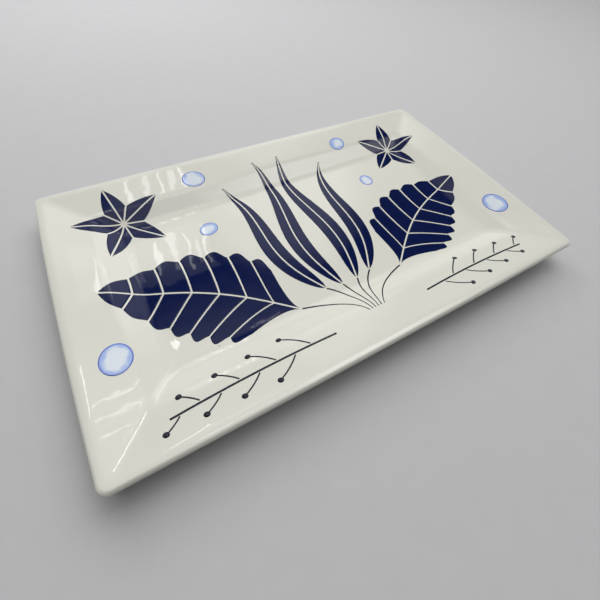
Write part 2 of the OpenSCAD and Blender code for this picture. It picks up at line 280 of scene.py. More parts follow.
@dataclass(frozen=True)
class Plan:
    """Plan of the platter: rectangles with round corners, whose sides bow outwards a little."""

    half_length: float
    half_width: float
    corner_radius: float = 5 * MM
    short_bow: float = 1.5 * MM
    long_bow: float = 1 * MM
    corner_steps: int = 12
    long_steps: int = 96
    short_steps: int = 60

    def bowed(self, points: Array) -> Array:
        """Carry plan points onto the bowed sides.

        Each coordinate grows by the bow of its side, times one less the square of the other
        coordinate's share of its half size.

        Args:
            points: plan points, with x and y last.

        Returns:
            The bowed points.
        """
        half = np.array([self.half_length, self.half_width])
        bow = np.array([self.short_bow, self.long_bow])
        return points * (1 + bow / half * (1 - (points / half)[..., ::-1] ** 2))

    def inset(self, points: Array) -> Array:
        """Measure how far plan points lie inside the edge.

        That is the lesser distance to the two nearest sides. Near a diagonal it is the level line
        with a round corner through the point.

        Args:
            points: plan points before the bow, with x and y last.

        Returns:
            The insets.
        """
        ends = self.half_length - np.abs(points[..., 0])
        sides = self.half_width - np.abs(points[..., 1])
        gap = ends - sides
        r = self.corner_radius
        root = np.sqrt(np.maximum(2 * r ** 2 - gap ** 2, 0))
        return np.where(np.abs(gap) < r, (ends + sides + root) / 2 - r, np.minimum(ends, sides))

    def corner_marks(self) -> Array:
        """Number the ring's points at the middle of its four corners."""
        spans = self.corner_steps + np.array([0, self.long_steps, self.short_steps, self.long_steps])
        return np.cumsum(spans) - self.corner_steps + self.corner_steps // 2

    def rings(self, insets: Array) -> Array:
        """Draw level lines counter-clockwise, with their sides bowed.

        A corner point is the corner's centre plus the radius along an angle. A point on a side is
        a blend of the two corner points at its ends, so both are linear in the inset.

        Args:
            insets: inset of each level line.

        Returns:
            Points by level line, place along it and coordinate.
        """
        signs = np.array([[1, 1], [-1, 1], [-1, -1], [1, -1]])
        centres, arcs = [], []
        for q in range(4):
            turn = np.pi / 2 * (q + np.arange(self.corner_steps + 1) / self.corner_steps)
            arc = np.stack([np.cos(turn), np.sin(turn)], axis=-1)
            steps = self.short_steps if q % 2 else self.long_steps
            share = np.arange(1, steps)[:, None] / steps
            after = signs[(q + 1) % 4]
            centres += [np.repeat(signs[q:q + 1], len(arc), axis=0)]
            centres += [signs[q] + share * (after - signs[q])]
            arcs += [arc, np.repeat(arc[-1:], steps - 1, axis=0)]
        centre, arc = np.concatenate(centres), np.concatenate(arcs)
        half = np.array([self.half_length, self.half_width])
        room = half - np.asarray(insets)[:, None, None] - self.corner_radius
        return self.bowed(centre * room + self.corner_radius * arc)


@dataclass(frozen=True)
class Ripple:
    """Slow unevenness of a poured glaze: a few shallow waves that cross each other."""

    lengths: tuple[float, ...] = (19 * MM, 27 * MM, 34 * MM, 52 * MM)
    turns: tuple[float, ...] = (0.35, 1.9, 2.75, 1.15)
    phases: tuple[float, ...] = (0.4, 2.1, 4.0, 5.2)
    depths: tuple[float, ...] = (0.014 * MM, 0.02 * MM, 0.02 * MM, 0.03 * MM)

    def heights(self, points: Array) -> Array:
        """Give the height of the waves, which never rises above the even glaze.

        The height is the sum of a depth times the sine of the distance along a wave's heading,
        in turns of its length, less the sum of the depths.

        Args:
            points: plan points, with x and y last.

        Returns:
            Heights, zero or less.
        """
        turns = np.array(self.turns)
        heading = np.stack([np.cos(turns), np.sin(turns)])
        phase = 2 * np.pi * (points @ heading) / np.array(self.lengths) + np.array(self.phases)
        return np.sin(phase) @ np.array(self.depths) - sum(self.depths)


@dataclass(frozen=True)
class Section:
    """Section of the platter from the middle of the well, over the lip, to the recess below."""

    rim_width: float = 31 * MM
    rim_fall: float = 4.2 * MM
    crest_width: float = 5 * MM
    crest_fall: float = 0.3 * MM
    crest_radius: float = 18 * MM
    step_width: float = 16 * MM
    step_fall: float = 7 * MM
    break_radius: float = 30 * MM
    well_radius: float = 26 * MM
    wall: float = 4.8 * MM
    lip_thickness: float = 4.6 * MM
    lip_radius: float = 2 * MM
    foot_height: float = 4 * MM
    foot_land: float = 4 * MM
    foot_taper: float = 1.5 * MM
    foot_setback: float = 3 * MM
    foot_round: float = 0.8 * MM
    foot_fillet: float = 2 * MM
    bare_height: float = 1.2 * MM
    glaze: float = 0.4 * MM
    soft_steps: int = 14
    lip_steps: int = 10
    foot_steps: int = 5
    step: float = 1.1 * MM

    @property
    def brink(self) -> float:
        """Height of the rim's inner edge."""
        return self.foot_height + self.wall + self.step_fall

    @property
    def lip(self) -> float:
        """Height of the lip before it is rounded."""
        return self.brink + self.rim_fall - self.crest_fall

    @property
    def well_inset(self) -> float:
        """Inset of the inner edge of the step."""
        return self.rim_width + self.step_width

    @property
    def foot_outer(self) -> float:
        """Inset of the outer edge of the flat that the platter stands on."""
        return self.well_inset + self.foot_setback + self.foot_taper

    @property
    def foot_inner(self) -> float:
        """Inset of the inner edge of the flat that the platter stands on."""
        return self.foot_outer + self.foot_land

    @property
    def bare_taper(self) -> float:
        """How far the foot ring widens over its unglazed height."""
        return self.foot_taper * self.bare_height / self.foot_height

    def rounded(self, corners: list[tuple[float, float, float, int]]) -> Array:
        """Draw a path with round corners.

        An arc's middle lies on the bisector of its corner, at the radius over the sine of half
        the angle. Its points turn evenly from one tangent point to the other.

        Args:
            corners: inset, height, radius and steps of each corner. The ends stay sharp.

        Returns:
            Points of the path as inset and height, no further apart than the step.
        """
        spots = np.array([corner[:2] for corner in corners])
        path = [spots[:1]]
        for before, spot, after, (_, _, radius, steps) in zip(spots, spots[1:], spots[2:], corners[1:]):
            to_a, to_b = (leg / np.linalg.norm(leg) for leg in (before - spot, after - spot))
            half = np.arccos(to_a @ to_b) / 2
            bisector = (to_a + to_b) / np.linalg.norm(to_a + to_b)
            middle = spot + bisector * radius / np.sin(half)
            start, end = (spot + leg * radius / np.tan(half) - middle for leg in (to_a, to_b))
            sweep = np.pi - 2 * half
            t = np.linspace(0, 1, steps + 1)[:, None]
            arc = start * np.sin((1 - t) * sweep) + end * np.sin(t * sweep)
            path += [middle + arc / np.sin(sweep)]
        return self.even(np.concatenate(path + [spots[-1:]]))

    def even(self, path: Array) -> Array:
        """Add points on the long stretches of a path, which keeps its own points.

        Args:
            path: points as inset and height.

        Returns:
            The path with no stretch longer than the step.
        """
        along = np.concatenate([[0], np.cumsum(np.linalg.norm(np.diff(path, axis=0), axis=1))])
        counts = np.maximum(np.ceil(np.diff(along) / self.step).astype(int), 1)
        share = np.concatenate([np.arange(n) / n for n in counts])
        start = np.repeat(np.arange(len(counts)), counts)
        marks = np.append(along[start] + share * np.diff(along)[start], along[-1])
        return np.stack([np.interp(marks, along, path[:, i]) for i in range(2)], axis=-1)

    def grown(self, path: Array) -> Array:
        """Move a path outwards by the glaze's thickness, along the mitres of its stretches.

        Args:
            path: points as inset and height, with the outer side on its right.

        Returns:
            The moved path.
        """
        legs = np.diff(path, axis=0)
        normals = np.stack([legs[:, 1], -legs[:, 0]], axis=-1)
        normals /= np.linalg.norm(normals, axis=1, keepdims=True)
        before = np.concatenate([normals[:1], normals])
        after = np.concatenate([normals, normals[-1:]])
        cosine = np.sum(before * after, axis=1, keepdims=True)
        return path + self.glaze * (before + after) / (1 + cosine)

    def top(self) -> list[tuple[float, float, float, int]]:
        """List the corners of the upper face, from the well to the lip.

        Returns:
            Inset, height, radius and steps of each corner.
        """
        well = self.foot_height + self.wall
        return [
            (self.well_inset + self.well_radius, well, 0, 0),
            (self.well_inset, well, self.well_radius, self.soft_steps),
            (self.rim_width, self.brink, self.break_radius, self.soft_steps),
            (self.crest_width, self.brink + self.rim_fall, self.crest_radius, self.soft_steps),
            (0, self.lip, self.lip_radius, self.lip_steps),
        ]

    def coat(self) -> Array:
        """Draw the glazed face of the bisque, from the well over the lip to the foot ring.

        Returns:
            Points as inset and height.
        """
        return self.rounded(self.top() + [
            (0, self.lip - self.lip_thickness, self.lip_radius, self.lip_steps),
            (self.rim_width, self.brink - self.wall, self.break_radius, self.soft_steps),
            (self.well_inset + self.foot_setback, self.foot_height, self.foot_fillet, self.foot_steps),
            (self.foot_outer - self.bare_taper, self.bare_height, 0, 0),
        ])

    def foot(self) -> Array:
        """Draw the bare end of the foot ring.

        Returns:
            Points as inset and height.
        """
        return self.rounded([
            (self.foot_outer - self.bare_taper, self.bare_height, 0, 0),
            (self.foot_outer, 0, self.foot_round, self.foot_steps),
            (self.foot_inner, 0, self.foot_round, self.foot_steps),
            (self.foot_inner + self.bare_taper, self.bare_height, 0, 0),
        ])

    def recess(self) -> Array:
        """Draw the glazed face of the recess inside the foot ring.

        Returns:
            Points as inset and height.
        """
        inner = self.foot_inner + self.foot_taper
        return self.rounded([
            (self.foot_inner + self.bare_taper, self.bare_height, 0, 0),
            (inner, self.foot_height, self.foot_fillet, self.foot_steps),
            (inner + self.foot_fillet + self.foot_land, self.foot_height, 0, 0),
        ])


@dataclass(frozen=True)
class Surface:
    """Glazed upper face of the platter, on which the print lies."""

    plan: Plan
    section: Section = Section()
    ripple: Ripple = Ripple()
    calm_edge: float = 2 * MM
    calm_width: float = 5 * MM

    def waves(self, insets: Array, points: Array) -> Array:
        """Give the glaze's waves, which die out smoothly towards the lip.

        Args:
            insets: inset of each point.
            points: bowed plan points.

        Returns:
            Heights, zero or less.
        """
        share = np.clip((insets - self.calm_edge) / self.calm_width, 0, 1)
        return self.ripple.heights(points) * share ** 2 * (3 - 2 * share)

    def lay(self, points: Array, lift: float) -> Array:
        """Carry plan points onto the glaze.

        Args:
            points: plan points before the bow, with x and y last.
            lift: height above the glaze.

        Returns:
            Points in space.
        """
        path = self.section.grown(self.section.rounded(self.section.top()))[::-1]
        insets = self.plan.inset(points)
        bowed = self.plan.bowed(points)
        height = np.interp(insets, path[:, 0], path[:, 1]) + self.waves(insets, bowed) + lift
        return np.concatenate([bowed, height[..., None]], axis=-1)


@dataclass
class Casting:
    """The cast bisque with its two coats of glaze."""

    surface: Surface
    materials: Materials
    inner_stride: int = 3

    def cap(self, ring: Array, first: int, start: int) -> tuple[Array, Array]:
        """Close a level line with a grid.

        The grid is a Coons patch between the line's four sides: the blend across plus the blend
        along, less the blend of the four corners.

        Args:
            ring: points of the line.
            first: vertex number of the line's first point.
            start: vertex number of the first new point.

        Returns:
            The new points inside the line, and the quads.
        """
        marks = self.surface.plan.corner_marks()
        count = len(ring)
        far, left, near, right = (
            np.arange(marks[i], marks[i + 1] + 1 if i < 3 else marks[0] + count + 1) % count
            for i in range(4)
        )
        far, left = far[::-1], left[::-1]
        s = np.linspace(0, 1, len(near))[None, :, None]
        t = np.linspace(0, 1, len(left))[:, None, None]
        across = (1 - t) * ring[near][None] + t * ring[far][None]
        along = (1 - s) * ring[left][:, None] + s * ring[right][:, None]
        corners = (1 - t) * ((1 - s) * ring[near[0]] + s * ring[near[-1]])
        corners = corners + t * ((1 - s) * ring[far[0]] + s * ring[far[-1]])
        inner = (across + along - corners)[1:-1, 1:-1].reshape(-1, 3)
        index = np.zeros((len(left), len(near)), int)
        index[0], index[-1] = first + near, first + far
        index[:, 0], index[:, -1] = first + left, first + right
        index[1:-1, 1:-1] = start + np.arange(len(inner)).reshape(len(left) - 2, -1)
        return inner, grid_quads(index)

    def loft(self, path: Array, waved: int) -> tuple[Array, Array]:
        """Carry a section path round the platter and close both ends.

        Args:
            path: points as inset and height.
            waved: number of level lines, from the first, that carry the glaze's waves.

        Returns:
            Points and quads.
        """
        plan = self.surface.plan
        flat = plan.rings(path[:, 0])
        height = np.repeat(path[:, 1:], flat.shape[1], axis=1)
        if waved:
            height[:waved] += self.surface.waves(path[:waved, :1], flat[:waved])
        rings = np.concatenate([flat, height[..., None]], axis=-1)
        lines, count = rings.shape[:2]
        index = np.arange(lines * count).reshape(lines, count)
        walls = grid_quads(np.concatenate([index, index[:, :1]], axis=1))
        top, top_quads = self.cap(rings[0], 0, lines * count)
        bottom, bottom_quads = self.cap(rings[-1], index[-1, 0], lines * count + len(top))
        if waved:
            top[:, 2] = path[0, 1] + self.surface.waves(path[0, 0], top[:, :2])
        points = np.concatenate([rings.reshape(-1, 3), top, bottom])
        quads = np.concatenate([walls, top_quads[:, ::-1], bottom_quads])
        return points, quads

    def build(self) -> None:
        """Build the bisque, the main coat and the coat of the recess.

        The hidden inner face of the main coat keeps only some of the level lines.
        """
        section = self.surface.section
        coat, foot, recess = section.coat(), section.foot(), section.recess()
        pieces = {
            "porcelain_body": ([coat, foot[1:], recess[1:]], 0, Slot.BISQUE),
            "glaze_coat": ([section.grown(coat), coat[::-self.inner_stride]], len(coat), Slot.GLAZE),
            "base_glaze": ([recess[::-1], section.grown(recess)], 0, Slot.GLAZE),
        }
        for node, (paths, waved, slot) in pieces.items():
            points, quads = self.loft(np.concatenate(paths), waved)
            quads = outward(points, quads)
            piece = make_piece(f"{node}_cast", points, quads, np.ones(len(quads), bool))
            fit_piece(piece, node, self.materials[slot])


@dataclass
class Film:
    """Printed film: it lays grids of plan points on the glaze as thin closed shells."""

    surface: Surface
    materials: Materials
    rise: float = 0.06 * MM
    sink: float = 0.03 * MM
    step: float = 0.9 * MM
    gap: float = 1.2 * MM
    tip: float = 0.35 * MM

    def steps(self, length: float) -> int:
        """Give the number of steps that a length takes."""
        return max(math.ceil(length / self.step), 2)

    def shares(self, length: float) -> Array:
        """Give even shares from 0 to 1, in steps that suit a length."""
        return np.linspace(0, 1, self.steps(length) + 1)

    def spot(self, shares: tuple[float, float]) -> Array:
        """Give a place on the platter from shares of its half sizes."""
        return np.array(shares) * (self.surface.plan.half_length, self.surface.plan.half_width)

    def shell(self, patch: Array) -> tuple[Array, Array, Array, Array]:
        """Give a grid of plan points its thickness.

        Args:
            patch: x, y and tone by row and column.

        Returns:
            Points, quads, whether each quad is smooth, and the tone of each point.
        """
        plane = patch[..., :2]
        a, b = plane[-1, -1] - plane[0, 0], plane[-1, 0] - plane[0, -1]
        patch = patch if a[0] * b[1] - a[1] * b[0] > 0 else patch[:, ::-1]
        over = self.surface.lay(patch[..., :2], self.rise).reshape(-1, 3)
        under = self.surface.lay(patch[..., :2], -self.sink).reshape(-1, 3)
        index = np.arange(len(over)).reshape(patch.shape[:2])
        edge = np.concatenate([index[0, :-1], index[:-1, -1], index[-1, :0:-1], index[:0:-1, 0]])
        after = np.roll(edge, -1)
        top, low = grid_quads(index), len(over)
        walls = np.stack([edge + low, after + low, after, edge], axis=-1)
        quads = np.concatenate([top, top[:, ::-1] + low, walls])
        smooth = np.arange(len(quads)) < len(top)
        return np.concatenate([over, under]), quads, smooth, np.tile(patch[..., 2].ravel(), 2)

    def lay(self, node: str, patches: list[Array], slot: Slot) -> None:
        """Build one printed piece from its patches.

        Args:
            node: name of the solid that it stands for.
            patches: grids of x, y and tone.
            slot: material slot.
        """
        shells = [self.shell(patch) for patch in patches]
        starts = np.cumsum([0] + [len(shell[0]) for shell in shells[:-1]])
        points = np.concatenate([shell[0] for shell in shells])
        quads = np.concatenate([shell[1] + start for shell, start in zip(shells, starts)])
        smooth = np.concatenate([shell[2] for shell in shells])
        piece = make_piece(f"{node}_print", points, quads, smooth)
        set_tone(piece, np.concatenate([shell[3] for shell in shells]))
        fit_piece(piece, node, self.materials[slot])


def placed(patches: list[Array], at: Array, turn: float) -> list[Array]:
    """Turn patches about their own origin and carry them to a place.

    Args:
        patches: grids of x, y and tone.
        at: the place.
        turn: the turn, in degrees.

    Returns:
        The moved patches.
    """
    c, s = math.cos(math.radians(turn)), math.sin(math.radians(turn))
    spin = np.array([[c, s], [-s, c]])
    return [np.concatenate([p[..., :2] @ spin + at, p[..., 2:]], axis=-1) for p in patches]


def with_tone(x: Array, y: Array, tone: Array) -> Array:
    """Stack coordinates and tone into a patch."""
    return np.stack(np.broadcast_arrays(x, y, tone), axis=-1)


def ribbon(points: Array, heading: Array, half: Array) -> Array:
    """Draw a line of varying width.

    Its edges lie at the half width on either side of the points, square to the heading.

    Args:
        points: points along the line.
        heading: heading at each point, in radians.
        half: half width at each point.

    Returns:
        A patch of two columns.
    """
    across = np.array([-1, 1])[None]
    x = points[:, :1] - across * (half * np.sin(heading))[:, None]
    y = points[:, 1:] + across * (half * np.cos(heading))[:, None]
    return with_tone(x, y, np.ones((1, 2)))


@dataclass(frozen=True)
class Leaf:
    """A leaf about a swaying midrib: its half width rises and falls along it like a sine."""

    length: float
    width: float
    sway: float
    waves: float
    peak: float
    full: float

    def edge(self, u: Array) -> Array:
        """Give the half width at shares of the length: a power of the sine of a half turn."""
        return self.width / 2 * np.maximum(np.sin(np.pi * u ** self.peak), 0) ** self.full

    def beside(self, u: Array, reach: Array) -> tuple[Array, Array]:
        """Find points beside the midrib, which sways like a sine along the length.

        Args:
            u: shares of the length.
            reach: distance from the midrib, positive on its left.

        Returns:
            The x and y of the points.
        """
        turn = 2 * np.pi * self.waves
        rise = turn * self.sway * np.cos(turn * u)
        slope = np.hypot(rise, self.length)
        x = self.length * u - reach * rise / slope
        y = self.sway * np.sin(turn * u) + reach * self.length / slope
        return x, y


@dataclass(frozen=True)
class Frond(Leaf):
    """A broad frond: lobed cells between swept veins, on both sides of an open midrib."""

    waves: float = 0.5
    peak: float = 0.8
    full: float = 0.72
    sweep: float = 0.2
    lobes: int = 7
    lobe_depth: float = 0.14
    lobe_lean: float = 1.5

    def cell(self, film: Film, lobe: int, side: Side) -> Array:
        """Draw one cell between two veins.

        A point at share u along the midrib and f across lies further along by the sweep times f,
        at f of the half width there. The half width swells in each lobe like a leaning sine.

        Args:
            film: the printed film.
            lobe: number of the lobe from the foot.
            side: side of the midrib.

        Returns:
            The patch, whose tone rises to 1 at the outer edge.
        """
        margin = film.gap / self.length / 2
        span = 1 / self.lobes - 2 * margin
        u = lobe / self.lobes + margin + span * film.shares(span * self.length)[:, None]
        f = film.shares(self.width / 2)[None]
        bulge = 1 + self.lobe_depth * (np.sin(np.pi * (u * self.lobes - lobe) ** self.lobe_lean) - 1)
        v = u + self.sweep * f * (1 - u)
        reach = film.gap / 2 + f * np.maximum(self.edge(v) * bulge - film.gap / 2, film.tip)
        return with_tone(*self.beside(v, side.value * reach), f)

    def patches(self, film: Film) -> list[Array]:
        """Draw all the cells."""
        return [self.cell(film, lobe, side) for side in Side for lobe in range(self.lobes)]


@dataclass(frozen=True)
class Blade(Leaf):
    """A slender blade in two halves beside an open midrib."""

    waves: float = 0.9
    peak: float = 0.7
    full: float = 0.8
    rib: float = 0.4

    def patches(self, film: Film) -> list[Array]:
        """Draw both halves.

        The halves run from the rib, half a gap wide or a share of the blade, to the blade's edge.

        Args:
            film: the printed film.

        Returns:
            Two patches, whose tone rises to 1 at the outer edge.
        """
        u = film.shares(self.length)[:, None]
        f = film.shares(self.width / 2)[None]
        full = np.maximum(self.edge(u), 2 * film.tip)
        rib = np.minimum(film.gap / 2, full * self.rib)
        reach = rib + f * (full - rib)
        return [with_tone(*self.beside(u, side.value * reach), f) for side in Side]


@dataclass(frozen=True)
class Star:
    """A star whose arms are each drawn in two halves, with open lines along and between them."""

    reach: float
    arms: int = 5
    notch: float = 0.36
    taper: float = 1.5
    full: float = 0.8

    def patches(self, film: Film) -> list[Array]:
        """Draw the halves of all the arms.

        Out to the notch an arm widens as a wedge. Beyond it, its half width falls as a power of
        one less a power of the way out.

        Args:
            film: the printed film.

        Returns:
            Two patches for each arm.
        """
        half_arm = math.pi / self.arms
        spread = math.tan(half_arm)
        gap = film.gap / 2 / math.cos(half_arm)
        start = (film.gap / 2 + film.tip + gap) / spread
        notch = self.notch * self.reach
        inner = np.linspace(start, notch, film.steps(notch - start))[:-1]
        x = np.append(inner, np.linspace(notch, self.reach, film.steps(self.reach - notch)))[:, None]
        t = np.maximum((x - notch) / (self.reach - notch), 0)
        arm = (notch * spread - gap) * (1 - t ** self.taper) ** self.full
        full = np.maximum(np.minimum(x * spread - gap, arm), film.gap / 2 + film.tip)
        f = film.shares(notch * spread)[None]
        y = film.gap / 2 + f * (full - film.gap / 2)
        halves = [with_tone(x, side.value * y, f) for side in Side]
        turns = np.arange(self.arms) * 360 / self.arms
        return [patch for turn in turns for patch in placed(halves, np.zeros(2), turn)]


@dataclass(frozen=True)
class Sprig:
    """A leaning stem with twigs by turns on either side, each ending in a round bud."""

    length: float
    lean: float
    twig_length: float = 23 * MM
    line: float = 1.3 * MM
    bud: float = 1.7 * MM
    twigs: int = 8
    first: float = 0.16
    spread: float = 0.78
    shrink: float = 0.5
    thin: float = 0.7
    angle: float = 46
    curl: float = 0.25
    bud_end: float = 0.96
    bud_steps: int = 14

    def twig(self, film: Film, base: Array, angle: float, length: float) -> Array:
        """Draw a twig, whose width is even along the shank and follows a circle round the bud.

        Args:
            film: the printed film.
            base: where it starts.
            angle: its heading there, in degrees.
            length: its length, with the bud.

        Returns:
            The patch.
        """
        line = self.line * self.thin / 2
        shank = length - 2 * self.bud
        turn = np.linspace(math.asin(line / self.bud), np.pi * self.bud_end, self.bud_steps)
        way = np.append(shank * film.shares(shank)[:-1], shank + self.bud * (1 - np.cos(turn)))
        half = np.append(np.full(film.steps(shank), line), self.bud * np.sin(turn))
        heading = np.radians(angle) * (1 - self.curl * way / length)
        points = base + way[:, None] * np.stack([np.cos(heading), np.sin(heading)], axis=-1)
        return ribbon(points, heading, half)

    def patches(self, film: Film) -> list[Array]:
        """Draw the stem, whose drop grows as the square of the way along, and the twigs.

        Args:
            film: the printed film.

        Returns:
            One patch for the stem and one for each twig.
        """
        t = film.shares(self.length)
        points = np.stack([self.length * t, self.lean * t ** 2], axis=-1)
        heading = np.arctan(2 * self.lean * t / self.length)
        drawn = [ribbon(points, heading, np.full(len(t), self.line / 2))]
        clear = (self.line + film.gap) / 2
        for i in range(self.twigs):
            side = Side.LEFT.value if i % 2 else Side.RIGHT.value
            t = self.first + self.spread * i / (self.twigs - 1)
            base = np.array([self.length * t + clear, self.lean * t * t + side * clear])
            length = self.twig_length * (1 - self.shrink * t)
            drawn.append(self.twig(film, base, side * self.angle, length))
        return drawn


@dataclass(frozen=True)
class Pebble:
    """A painted pebble: a square grid drawn round into an oval."""

    reach: float
    width_share: float = 0.86

    def patches(self, film: Film) -> list[Array]:
        """Draw the oval.

        Each coordinate of the square is drawn in by the square root of one less half the square
        of the other. The tone is the distance from the middle as a share of the edge's.

        Args:
            film: the printed film.

        Returns:
            One patch.
        """
        u = (2 * film.shares(2 * self.reach) - 1)[:, None]
        v = u.T
        x, y = u * np.sqrt(1 - v ** 2 / 2), v * np.sqrt(1 - u ** 2 / 2)
        return [with_tone(self.reach * x, self.reach * self.width_share * y, np.hypot(x, y))]


@dataclass(frozen=True)
class Motif:
    """A printed motif, and where it lies: shares of the half sizes, and a turn in degrees."""

    node: str
    shape: Frond | Star | Sprig | Pebble
    at: tuple[float, float]
    turn: float
    slot: Slot

    def build(self, film: Film) -> None:
        """Build the motif at its place on the film."""
        patches = placed(self.shape.patches(film), film.spot(self.at), self.turn)
        film.lay(self.node, patches, self.slot)


@dataclass
class Spray:
    """The spray of seaweed: two fronds and four blades on fine stems that meet at a root.

    A row of blades has the blade, its foot as a share of the half length, the drop of its foot as
    a share of its own length, and its turn in degrees.
    """

    film: Film
    fronds: tuple[Motif, Motif] = (
        Motif("frond_left", Frond(128 * MM, 74 * MM, -9 * MM), (-0.245, -0.53), 150, Slot.NAVY),
        Motif("frond_right", Frond(120 * MM, 70 * MM, 9 * MM), (0.245, -0.53), 29, Slot.NAVY),
    )
    blades: tuple[tuple[Blade, float, float, float], ...] = (
        (Blade(124 * MM, 16 * MM, 6 * MM), -0.108, 0.405, 104),
        (Blade(140 * MM, 16 * MM, 6 * MM), -0.036, 0.374, 93.5),
        (Blade(140 * MM, 16 * MM, -6 * MM), 0.036, 0.374, 86),
        (Blade(124 * MM, 16 * MM, -6 * MM), 0.108, 0.405, 75),
    )
    stem_line: float = 1.2 * MM
    stem_pitch: float = 2.4 * MM
    stem_taper: float = 0.5
    stem_bend: tuple[float, float] = (0.8, 0.3)
    root_y: float = -0.76

    def stem(self, foot: Array, turn: float, place: float) -> Array:
        """Draw a stem from below a leaf down to the root, as a quadratic curve that tapers.

        Args:
            foot: foot of the leaf.
            turn: heading of the leaf, in degrees.
            place: place at the root, counted in stems from the middle.

        Returns:
            The patch.
        """
        angle = math.radians(turn)
        start = foot - self.film.gap * np.array([math.cos(angle), math.sin(angle)])
        root = np.array([place * self.stem_pitch, self.film.spot((0, self.root_y))[1]])
        bend = start + (root - start) * np.array(self.stem_bend)
        t = self.film.shares(float(np.linalg.norm(root - start)))[:, None]
        points = (1 - t) ** 2 * start + 2 * t * (1 - t) * bend + t ** 2 * root
        way = (1 - t) * (bend - start) + t * (root - bend)
        half = self.stem_line / 2 * (1 - self.stem_taper * t[:, 0])
        return ribbon(points, np.arctan2(way[:, 1], way[:, 0]), half)

    def build(self) -> None:
        """Build the fronds, the blades and the stems below them."""
        for frond in self.fronds:
            frond.build(self.film)
        left, right = ((self.film.spot(frond.at), frond.turn) for frond in self.fronds)
        roots = []
        for i, (blade, x, drop, turn) in enumerate(self.blades, start=1):
            foot = np.array([self.film.spot((x, 0))[0], -drop * blade.length])
            shape = placed(blade.patches(self.film), foot, turn)
            self.film.lay(f"weed_blade_{i}", shape, Slot.NAVY)
            roots.append((foot, turn))
        ends = [left, *roots, right]
        middle = (len(ends) - 1) / 2
        stems = [self.stem(foot, turn, i - middle) for i, (foot, turn) in enumerate(ends)]
        self.film.lay("spray_stems", stems, Slot.INK)


@dataclass
class Scatter:
    """What lies round the spray: two stars, two sprigs and six painted pebbles."""

    film: Film
    motifs: tuple[Motif, ...] = (
        Motif("star_left", Star(33 * MM), (-0.71, 0.61), 100, Slot.NAVY),
        Motif("star_right", Star(31 * MM), (0.7, 0.58), 76, Slot.NAVY),
        Motif("sprig_left", Sprig(104 * MM, 6 * MM), (-0.2, -0.8), 178, Slot.INK),
        Motif("sprig_right", Sprig(98 * MM, -6 * MM), (0.22, -0.81), 3, Slot.INK),
        Motif("pebble_1", Pebble(10.12 * MM), (-0.87, -0.4), 70, Slot.WASH),
        Motif("pebble_2", Pebble(7.26 * MM), (-0.4, 0.34), 20, Slot.WASH),
        Motif("pebble_3", Pebble(9.24 * MM), (-0.36, 0.8), -15, Slot.WASH),
        Motif("pebble_4", Pebble(8.14 * MM), (0.43, 0.77), 35, Slot.WASH),
        Motif("pebble_5", Pebble(6.82 * MM), (0.44, 0.32), 80, Slot.WASH),
        Motif("pebble_6", Pebble(11 * MM), (0.88, -0.42), 100, Slot.WASH),
    )

    def build(self) -> None:
        """Build each motif."""
        for motif in self.motifs:
            motif.build(self.film)


@dataclass(frozen=True)
class Finish:
    """What every finish shares: a name, and a tree that ends in one shader."""

    name: str

    def build(self) -> bpy.types.Material:
        """Make the material.

        Returns:
            The material, with its nodes.
        """
        material = bpy.data.materials.new(self.name)
        material.use_nodes = True
        nodes = Nodes(material.node_tree)
        nodes.tree.nodes.clear()
        nodes.add("ShaderNodeOutputMaterial", {"Surface": self.shader(nodes).outputs[0]})
        return material

    def shader(self, nodes: Nodes) -> bpy.types.Node:
        """Add the finish's nodes and give its shader."""
        raise NotImplementedError


@dataclass(frozen=True)
class Glossy(Finish):
    """A fired, glassy surface, whose slow waviness breaks up what it mirrors."""

    roughness: float = 0.04
    ior: float = 1.52
    wave_size: float = 12 * MM
    wave_depth: float = 0.1 * MM
    wave_detail: float = 1

    def gloss(self, nodes: Nodes, colour: Socket) -> bpy.types.Node:
        """Add the glassy shader over its waviness.

        Args:
            nodes: nodes of the material.
            colour: base colour.

        Returns:
            The shader.
        """
        waves = nodes.noise(self.wave_size, self.wave_detail)
        return nodes.add("ShaderNodeBsdfPrincipled", {
            "Base Color": colour, "Roughness": self.roughness, "IOR": self.ior,
            "Normal": nodes.bump(waves, self.wave_depth)})


@dataclass(frozen=True)
class GlazedPorcelain(Glossy):
    """Hard-paste porcelain under a clear feldspar glaze, poured and fired.

    To the eye it is a warm white with a wet gloss, a slightly greener tint where the glaze pools
    and a rare iron speck the size of a pinhead.
    """

    white: str = "#DFDED4"
    pooled: str = "#D9D9CE"
    speck: str = "#6E665A"
    cloud_size: float = 70 * MM
    cloud_detail: float = 2
    speck_spacing: float = 48 * MM
    speck_radius: float = 0.45 * MM

    def shader(self, nodes: Nodes) -> bpy.types.Node:
        """Mix the white with the pooled tint by slow clouds, and set the specks into it.

        Args:
            nodes: nodes of the material.

        Returns:
            The shader.
        """
        cloud = nodes.noise(self.cloud_size, self.cloud_detail)
        tint = nodes.blend(cloud, linear(self.white), linear(self.pooled))
        cells = nodes.add("ShaderNodeTexVoronoi", {
            "Vector": nodes.place(), "Scale": 1 / self.speck_spacing})
        reach = self.speck_radius / self.speck_spacing
        speck = nodes.calc("LESS_THAN", cells.outputs["Distance"], reach)
        return self.gloss(nodes, nodes.blend(speck, tint, linear(self.speck)))


